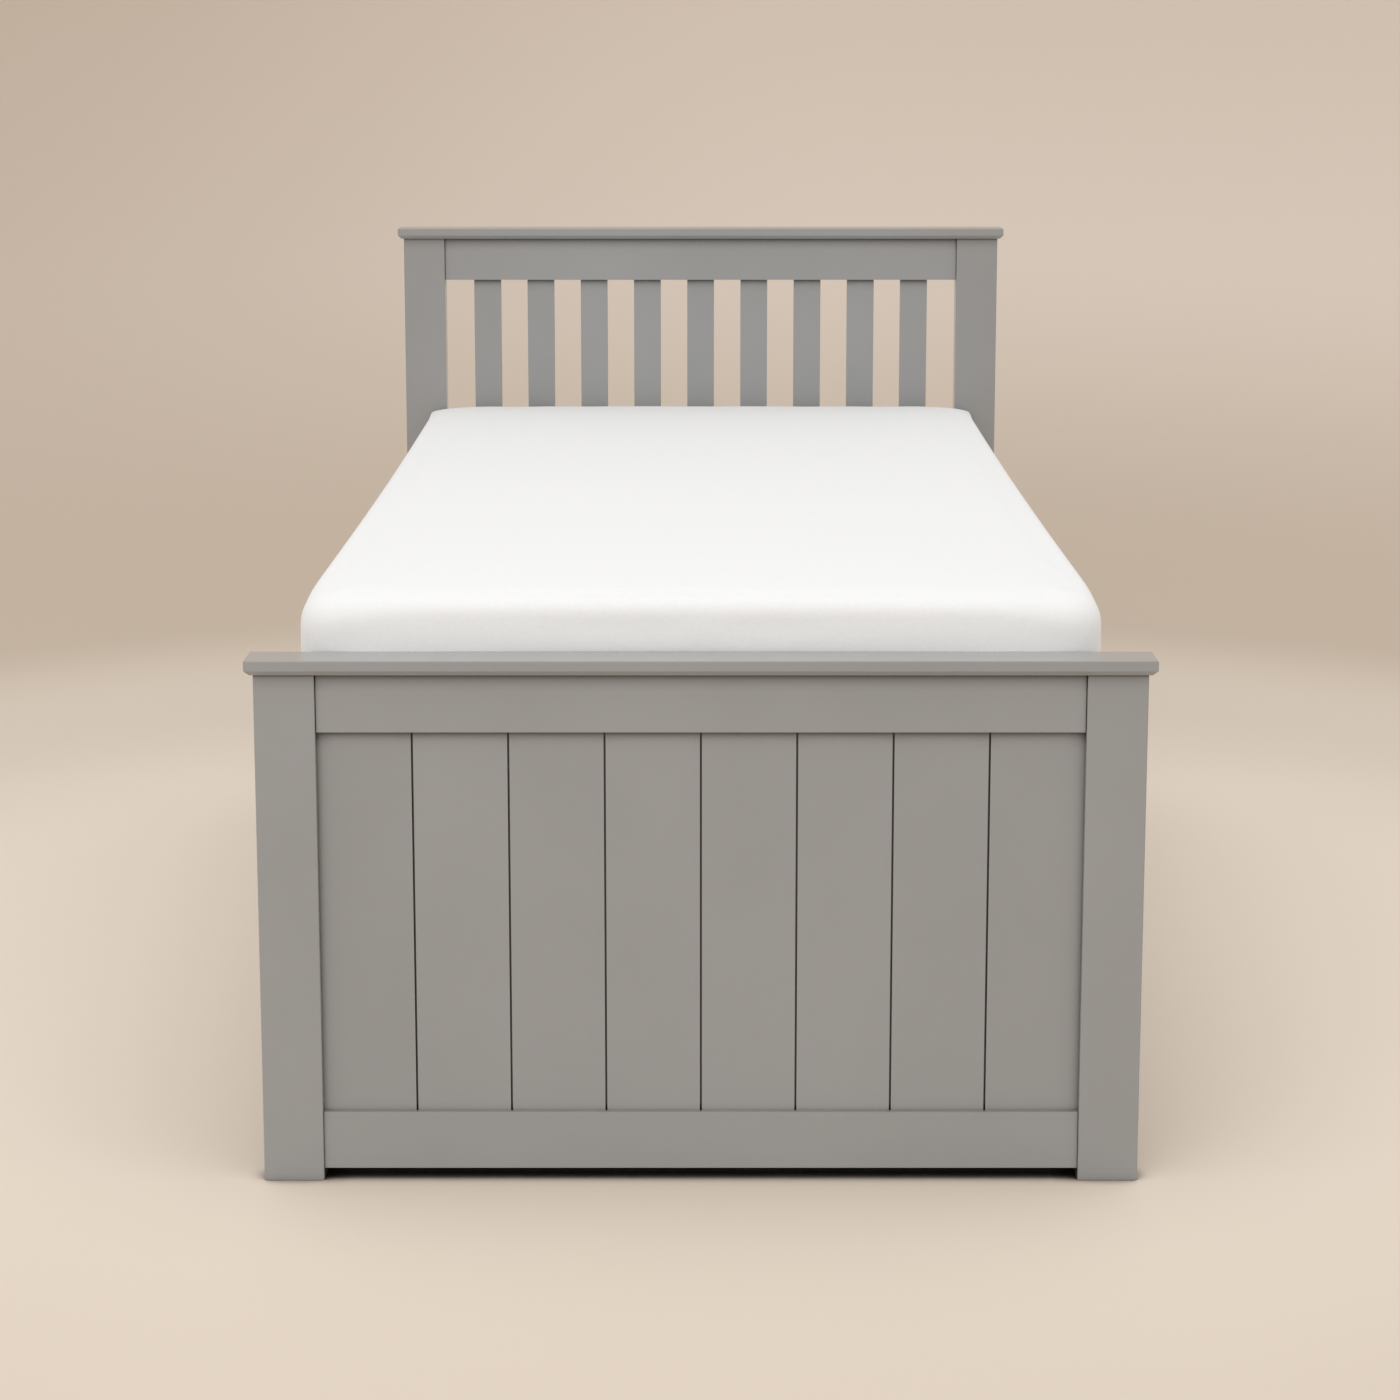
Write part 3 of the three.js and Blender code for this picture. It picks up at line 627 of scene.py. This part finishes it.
def quadratic(start, middle, end, steps):
    """Points on a quadratic curve after its start."""
    points = []
    for step in range(1, steps + 1):
        t = step / steps
        points.append(start * (1 - t) ** 2 + middle * 2 * t * (1 - t) + end * t**2)
    return points


def knob_profile():
    """Radius and height of a turned knob, from the end of its spigot to the middle of its face."""
    neck = Vector((KNOB_NECK_RADIUS, KNOB_NECK_HEIGHT))
    rim = Vector((KNOB_RADIUS, KNOB_RIM_HEIGHT))
    foot = Vector((KNOB_BASE_RADIUS, KNOB_BASE_HEIGHT))
    top = Vector((0, KNOB_PROJECTION))
    profile = [
        Vector((0, -SPIGOT_LENGTH)),
        Vector((SPIGOT_RADIUS, -SPIGOT_LENGTH)),
        Vector((SPIGOT_RADIUS, KNOB_GAP)),
        Vector((KNOB_BASE_RADIUS, KNOB_GAP)),
        foot,
    ]
    profile += quadratic(foot, Vector((neck.x, foot.y)), neck, KNOB_CURVE_STEPS)
    profile += quadratic(neck, Vector((neck.x, rim.y)), rim, KNOB_CURVE_STEPS)
    profile += quadratic(rim, Vector((rim.x, top.y)), top, KNOB_CURVE_STEPS)
    return profile


def knob_piece(node, material):
    """A finely turned knob on the axis of its CAD node, standing out towards +X."""
    lo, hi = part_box(node)
    face = hi.x - KNOB_PROJECTION
    y, z = (lo.y + hi.y) / 2, (lo.z + hi.z) / 2
    profile = knob_profile()
    vertices = [Vector((face + profile[0].y, y, z))]
    for radius, height in profile[1:-1]:
        for turn in range(KNOB_TURNS):
            angle = 2 * math.pi * turn / KNOB_TURNS
            across, up = radius * math.cos(angle), radius * math.sin(angle)
            vertices.append(Vector((face + height, y + across, z + up)))
    vertices.append(Vector((face + profile[-1].y, y, z)))
    rings = len(profile) - 2
    last = len(vertices) - 1
    faces = []
    for turn in range(KNOB_TURNS):
        beside = (turn + 1) % KNOB_TURNS
        faces.append((0, 1 + turn, 1 + beside))
        faces.append((last, last - KNOB_TURNS + beside, last - KNOB_TURNS + turn))
    for ring in range(rings - 1):
        a = 1 + ring * KNOB_TURNS
        b = a + KNOB_TURNS
        faces += side_faces(range(a, b), range(b, b + KNOB_TURNS))
    knob = mesh_object(f"turned_{node}", vertices, faces, material)
    knob.data.set_sharp_from_angle(angle=KNOB_SHARP_ANGLE)
    return knob


def make_knobs(material):
    for body in frame["bodies"]:
        node = f"{body}_knob"
        if node in frame["nodes"]:
            knob = knob_piece(node, material)
            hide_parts(node)
            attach(knob, body)


def edge_spaced(half):
    """Places from -half to half, close together near both ends, where the mattress is rounded."""
    steps = MATTRESS_ROUND_STEPS
    insets = [MATTRESS_TOP_RADIUS * (1 - math.cos(math.pi / 2 * i / steps)) for i in range(steps)]
    place = MATTRESS_TOP_RADIUS
    while place < MATTRESS_FINE_REACH:
        insets.append(place)
        place += MATTRESS_FINE_STEP
    count = math.ceil(2 * (half - place) / MATTRESS_STEP)
    inner = [place - half + 2 * (half - place) * i / count for i in range(count + 1)]
    return [inset - half for inset in insets] + inner + [half - inset for inset in reversed(insets)]


def rounded_in_plan(x, y, half_x, half_y):
    """A point of a rectangle, moved into the same rectangle with round corners, tighter at the head."""
    radius = MATTRESS_HEAD_CORNER_RADIUS if y > 0 else MATTRESS_CORNER_RADIUS
    a = abs(x) - (half_x - radius)
    b = abs(y) - (half_y - radius)
    if a <= 0 or b <= 0:
        return x, y
    shrink = max(a, b) / math.hypot(a, b)
    x = math.copysign(half_x - radius + a * shrink, x)
    y = math.copysign(half_y - radius + b * shrink, y)
    return x, y


def edge_radius(y, from_corner):
    """How round the top edge is: softer towards the foot's corners and sharper towards the head's."""
    if y > 0:
        extra, reach = MATTRESS_HEAD_CORNER_EXTRA, MATTRESS_HEAD_CORNER_REACH
    else:
        extra, reach = MATTRESS_CORNER_EXTRA, MATTRESS_CORNER_REACH
    return MATTRESS_TOP_RADIUS + extra * math.exp(-((from_corner / reach) ** 2))


def round_drop(inset, radius):
    """How far a rounded edge lies below the flat beside it, at a distance in from the side."""
    from_arc = max(radius - inset, 0)
    return radius - math.sqrt(radius**2 - from_arc**2)


def from_edges(x, y, half_x, half_y):
    """How far a point of a rectangle is from its nearest side, and from its nearest corner."""
    from_side, from_end = half_x - abs(x), half_y - abs(y)
    return min(from_side, from_end), math.hypot(from_side, from_end)


def drawn_in(x, y, half_x, half_y):
    """How far the sides are pulled in between the corners, as a vector towards the middle."""
    radius = MATTRESS_CORNER_RADIUS
    depth = MATTRESS_DRAW_IN + SHEET_SWELL
    along_y = min(abs(y) / (half_y - radius), 1)
    along_x = min(abs(x) / (half_x - radius), 1)
    pull_x = -math.copysign(depth * math.cos(math.pi / 2 * along_y), x)
    pull_y = -math.copysign(depth * math.cos(math.pi / 2 * along_x), y)
    near_x = max(0.0, 1 - (half_x - abs(x)) / MATTRESS_FINE_REACH)
    near_y = max(0.0, 1 - (half_y - abs(y)) / MATTRESS_FINE_REACH)
    return Vector((pull_x * near_x, pull_y * near_y, 0))


def gathered(point, half_x, half_y, low):
    """Small upright gathers of the sheet beside the corners, deepest near the hem."""
    x, y = point.x, point.y
    inset, from_corner = from_edges(x, y, half_x, half_y)
    on_side = max(0.0, 1 - inset / MATTRESS_TOP_RADIUS)
    near_hem = math.exp(-max(point.z - low - SHEET_HEM, 0) / GATHER_HEIGHT)
    fade = math.exp(-((from_corner / GATHER_REACH) ** 2))
    wandering = Vector((x * GATHER_WANDER_PER_METRE, y * GATHER_WANDER_PER_METRE, 0))
    wander = GATHER_WANDER * noise.noise(wandering)
    wave = math.cos(2 * math.pi * from_corner / GATHER_LENGTH + wander)
    outward = Vector((x / half_x, y / half_y, 0)).normalized()
    return outward * GATHER_DEPTH * fade * on_side * near_hem * (wave - 1) / 2


def mattress_skin(columns, rows, half_x, half_y, low, high, top):
    """The upper or the lower skin, as a grid of points with round edges and corners."""
    points = []
    for y in rows:
        for x in columns:
            inset, from_corner = from_edges(x, y, half_x, half_y)
            px, py = rounded_in_plan(x, y, half_x, half_y)
            if top:
                fall = (MATTRESS_CROWN - SHEET_RISE) * (1 - min(inset / half_x, 1)) ** 4
                if y > 0:
                    fall -= MATTRESS_HEAD_ARCH * (1 - (x / half_x) ** 2) * (y / half_y) ** 4
                    fall += MATTRESS_HEAD_CORNER_FALL * math.exp(-from_corner / MATTRESS_HEAD_CORNER_FADE)
                z = high - SHEET_RISE - fall - round_drop(inset, edge_radius(y, from_corner))
            else:
                z = low + round_drop(inset, MATTRESS_BOTTOM_RADIUS)
            points.append(Vector((px, py, z)) + drawn_in(px, py, half_x, half_y))
    return points


def border(width, height):
    """Indices round the border of a grid, counterclockwise from its first corner."""
    bottom = list(range(width))
    right = [j * width + width - 1 for j in range(1, height)]
    top = [(height - 1) * width + i for i in range(width - 2, -1, -1)]
    left = [j * width for j in range(height - 2, 0, -1)]
    return bottom + right + top + left


def mattress_body(half_x, half_y, low, high):
    """Vertices and faces of the mattress before the sheet is pressed out."""
    columns, rows = edge_spaced(half_x), edge_spaced(half_y)
    upper = mattress_skin(columns, rows, half_x, half_y, low, high, top=True)
    lower = mattress_skin(columns, rows, half_x, half_y, low, high, top=False)
    width, height = len(columns), len(rows)
    edge = border(width, height)
    vertices = upper + lower
    faces = []
    for j in range(height - 1):
        for i in range(width - 1):
            a = j * width + i
            faces.append((a, a + 1, a + width + 1, a + width))
            b = a + len(upper)
            faces.append((b, b + width, b + width + 1, b + 1))
    side_height = high - low - MATTRESS_CROWN - MATTRESS_TOP_RADIUS - MATTRESS_BOTTOM_RADIUS
    count = round(side_height / MATTRESS_SIDE_STEP)
    ring = [index + len(upper) for index in edge]
    for step in range(1, count):
        above = list(range(len(vertices), len(vertices) + len(edge)))
        vertices += [lower[index].lerp(upper[index], step / count) for index in edge]
        faces += side_faces(ring, above)
        ring = above
    faces += side_faces(ring, edge)
    return vertices, faces


def pressed_out(piece, hem):
    """How far cloth that is held below the hem is pressed out. The filling lets no point move in."""
    held = piece.vertex_groups.new(name="held")
    held.add([v.index for v in piece.data.vertices if v.co.z < hem], 1.0, "REPLACE")
    cloth = piece.modifiers.new("sheet", "CLOTH")
    cloth.settings.quality = SHEET_QUALITY
    cloth.settings.mass = SHEET_MASS
    cloth.settings.tension_stiffness = SHEET_STIFFNESS
    cloth.settings.compression_stiffness = SHEET_STIFFNESS
    cloth.settings.shear_stiffness = SHEET_SHEAR
    cloth.settings.bending_stiffness = SHEET_BENDING
    cloth.settings.vertex_group_mass = held.name
    cloth.settings.use_pressure = True
    cloth.settings.uniform_pressure_force = SHEET_PRESSURE
    cloth.settings.effector_weights.gravity = 0
    scene = bpy.context.scene
    for step in range(1, SHEET_STEPS + 1):
        scene.frame_set(step)
    moved = piece.evaluated_get(bpy.context.evaluated_depsgraph_get()).to_mesh()
    moves = []
    for after, before in zip(moved.vertices, piece.data.vertices):
        outward = max((after.co - before.co).dot(before.normal), 0.0)
        moves.append(before.normal * outward)
    piece.modifiers.remove(cloth)
    piece.vertex_groups.remove(held)
    scene.frame_set(1)
    return moves


def held_back(move, limit):
    """A move that never quite reaches its limit."""
    return limit * math.tanh(move / limit)


def make_mattress():
    """The mattress in its fitted sheet: crowned, rounded all along its edges and drawn in at the sides."""
    lo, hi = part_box("mattress")
    vertices, faces = mattress_body(hi.x, hi.y, lo.z, hi.z)
    mattress = mesh_object("mattress_in_fitted_sheet", vertices, faces, cotton_material())
    points = mattress.data.vertices
    for point, move in zip(points, pressed_out(mattress, lo.z + SHEET_HEM)):
        point.co.x += held_back(move.x, SHEET_SWELL)
        point.co.y += held_back(move.y, SHEET_SWELL)
        point.co.z += held_back(move.z, SHEET_RISE)
    for point in points:
        inset, _ = from_edges(point.co.x, point.co.y, hi.x, hi.y)
        if point.co.z > lo.z + SHEET_HEM:
            calm = min(max(inset / MATTRESS_TOP_RADIUS, 0), 1)
            place = Vector((point.co.x, point.co.y, 0)) * SAG_PER_METRE
            point.co.z -= SAG_DEPTH * calm * (0.5 + 0.5 * noise.noise(place))
        point.co += gathered(point.co, hi.x, hi.y, lo.z)
    fine = mattress.modifiers.new("fine", "SUBSURF")
    fine.levels = 1
    fine.render_levels = 1
    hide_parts("mattress")
    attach(mattress, "bed_frame")


# Studio


def sweep_colour(paper, x, height):
    """The paper's colour up the sweep, with painted shade: from the floor's, through a darker foot where
    the sweep curves, to the wall's, which is darker towards the left where less light falls.
    """
    across = paper.remap(x, *WALL_SHADE_X, kind="SMOOTHSTEP")
    wall = paper.blend(across, WALL_SHADED, WALL_COLOUR)
    foot = paper.blend(paper.remap(height, *FOOT_HEIGHTS, kind="SMOOTHSTEP"), FLOOR_FAR_SHADE, WALL_FOOT_SHADE)
    return paper.blend(paper.remap(height, *WALL_HEIGHTS, kind="SMOOTHSTEP"), foot, wall)


def floor_material():
    """Seamless beige paper with painted shade: a little darker away from the bed, and near black where
    something stands on it.

    A camera that stands outside the sweep sees the floor there past the sweep's near edge, so to the
    camera it has the colour of that edge. A line of sight that grazes the sweep meets the floor at half
    the distance from the sweep's start.
    """
    paper = Nodes("beige_paper_floor", Roughness=FLOOR_ROUGHNESS, IOR=PAPER_IOR)
    place = paper.place()
    reach = paper.node("ShaderNodeVectorMath", {0: place}, operation="LENGTH").outputs["Value"]
    far = paper.remap(reach, FLOOR_FADE_START, SWEEP_START, kind="SMOOTHSTEP")
    colour = paper.blend(far, FLOOR_COLOUR, FLOOR_FAR_SHADE)
    beyond = paper.math("MAXIMUM", paper.math("SUBTRACT", reach, SWEEP_START), 0.0)
    height = paper.math("MULTIPLY", paper.math("MULTIPLY", beyond, beyond), 2 / SWEEP_RADIUS)
    outside = sweep_colour(paper, paper.parts(place)[0], height)
    to_camera = paper.node("ShaderNodeLightPath", {}).outputs["Is Camera Ray"]
    is_outside = paper.math("MULTIPLY", paper.math("GREATER_THAN", beyond, 0.0), to_camera)
    colour = paper.blend(is_outside, colour, outside)
    # Painted contact shadow: the floor goes towards near black where something stands close over it
    contact_shade = paper.remap(paper.openness(CONTACT_REACH), *CONTACT_OPENNESS)
    paper.feed("Base Color", paper.blend(contact_shade, colour, PAINTED_GAP_SHADE))
    tooth = paper.noise(place, PAPER_TOOTH_PER_METRE, detail=3.0)
    paper.feed("Normal", paper.bump(tooth, PAPER_TOOTH_DEPTH))
    return paper.material


def wall_material():
    """The same paper where it curves up behind the bed, clear to a camera that stands outside it."""
    paper = Nodes("beige_paper_wall", Roughness=WALL_ROUGHNESS, IOR=PAPER_IOR)
    x, _, z = paper.parts(paper.place())
    paper.feed("Base Color", sweep_colour(paper, x, z))
    clear = paper.node("ShaderNodeBsdfTransparent", {}).outputs["BSDF"]
    behind = paper.node("ShaderNodeNewGeometry", {}).outputs["Backfacing"]
    inputs = {0: behind, 1: paper.shader.outputs["BSDF"], 2: clear}
    mixed = paper.node("ShaderNodeMixShader", inputs).outputs["Shader"]
    paper.tree.links.new(mixed, paper.output.inputs["Surface"])
    return paper.material


def make_floor():
    count = SWEEP_TURNS
    ring = [(math.cos(2 * math.pi * i / count), math.sin(2 * math.pi * i / count)) for i in range(count)]
    vertices = [Vector((FLOOR_RADIUS * x, FLOOR_RADIUS * y, 0)) for x, y in ring]
    floor = mesh_object("floor", vertices, [tuple(range(count))], floor_material(), smooth=False)


def make_backdrop():
    """A round sweep that rises from the floor all round the bed, so that every view has it behind."""
    profile = []
    for step in range(SWEEP_STEPS + 1):
        angle = math.pi / 2 * step / SWEEP_STEPS
        out = SWEEP_START + SWEEP_RADIUS * math.sin(angle)
        profile.append((out, SWEEP_RADIUS * (1 - math.cos(angle)) + MILLIMETRE))
    profile.append((SWEEP_START + SWEEP_RADIUS, SWEEP_HEIGHT))
    vertices = []
    faces = []
    for out, z in profile:
        for turn in range(SWEEP_TURNS):
            angle = 2 * math.pi * turn / SWEEP_TURNS
            vertices.append(Vector((out * math.cos(angle), out * math.sin(angle), z)))
    for ring in range(len(profile) - 1):
        a = ring * SWEEP_TURNS
        b = a + SWEEP_TURNS
        faces += side_faces(range(a, b), range(b, b + SWEEP_TURNS))
    wall = mesh_object("backdrop", vertices, faces, wall_material())
    if wall.data.polygons[0].normal.z < 0:
        wall.data.flip_normals()
    wall.visible_diffuse = False
    wall.visible_glossy = False
    wall.visible_shadow = False


def make_world():
    """An even soft light from all round. Cameras and reflections see the backdrop's colour."""
    world = bpy.data.worlds.new("studio")
    world.use_nodes = True
    tree = world.node_tree
    tree.nodes.clear()
    output = tree.nodes.new("ShaderNodeOutputWorld")
    light = tree.nodes.new("ShaderNodeBackground")
    light.inputs["Color"].default_value = LIGHT_WHITE
    light.inputs["Strength"].default_value = WORLD_STRENGTH
    seen = tree.nodes.new("ShaderNodeBackground")
    seen.inputs["Color"].default_value = BACKGROUND
    path = tree.nodes.new("ShaderNodeLightPath")
    shares = path.outputs["Is Camera Ray"]
    for name in ("Is Glossy Ray", "Is Transmission Ray"):
        either = tree.nodes.new("ShaderNodeMath")
        either.operation = "MAXIMUM"
        tree.links.new(shares, either.inputs[0])
        tree.links.new(path.outputs[name], either.inputs[1])
        shares = either.outputs[0]
    mix = tree.nodes.new("ShaderNodeMixShader")
    tree.links.new(shares, mix.inputs[0])
    tree.links.new(light.outputs[0], mix.inputs[1])
    tree.links.new(seen.outputs[0], mix.inputs[2])
    tree.links.new(mix.outputs[0], output.inputs[0])
    bpy.context.scene.world = world


def add_lamp(name, place, target, size, power):
    """A large square soft white light that looks at a point."""
    lamp = bpy.data.lights.new(name, "AREA")
    lamp.size = size
    lamp.energy = power
    holder = bpy.data.objects.new(name, lamp)
    holder.location = place
    holder.rotation_euler = (Vector(target) - Vector(place)).to_track_quat("-Z", "Y").to_euler()
    holder.visible_camera = False
    bpy.context.scene.collection.objects.link(holder)


def make_lamps():
    add_lamp("key", *KEY_LAMP)
    add_lamp("top", *TOP_LAMP)


def make_camera():
    data = bpy.data.cameras.new("camera")
    data.lens = CAMERA_LENS
    data.sensor_width = CAMERA_SENSOR
    data.shift_y = CAMERA_SHIFT_Y
    camera = bpy.data.objects.new("camera", data)
    camera.location = CAMERA_PLACE
    camera.rotation_euler = (math.pi / 2 - CAMERA_TILT, 0, 0)
    bpy.context.scene.collection.objects.link(camera)
    bpy.context.scene.camera = camera


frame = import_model()
make_camera()
make_mattress()
make_knobs(finish_nodes())
make_floor()
make_backdrop()
make_world()
make_lamps()
bpy.context.scene.view_settings.view_transform = "Standard"
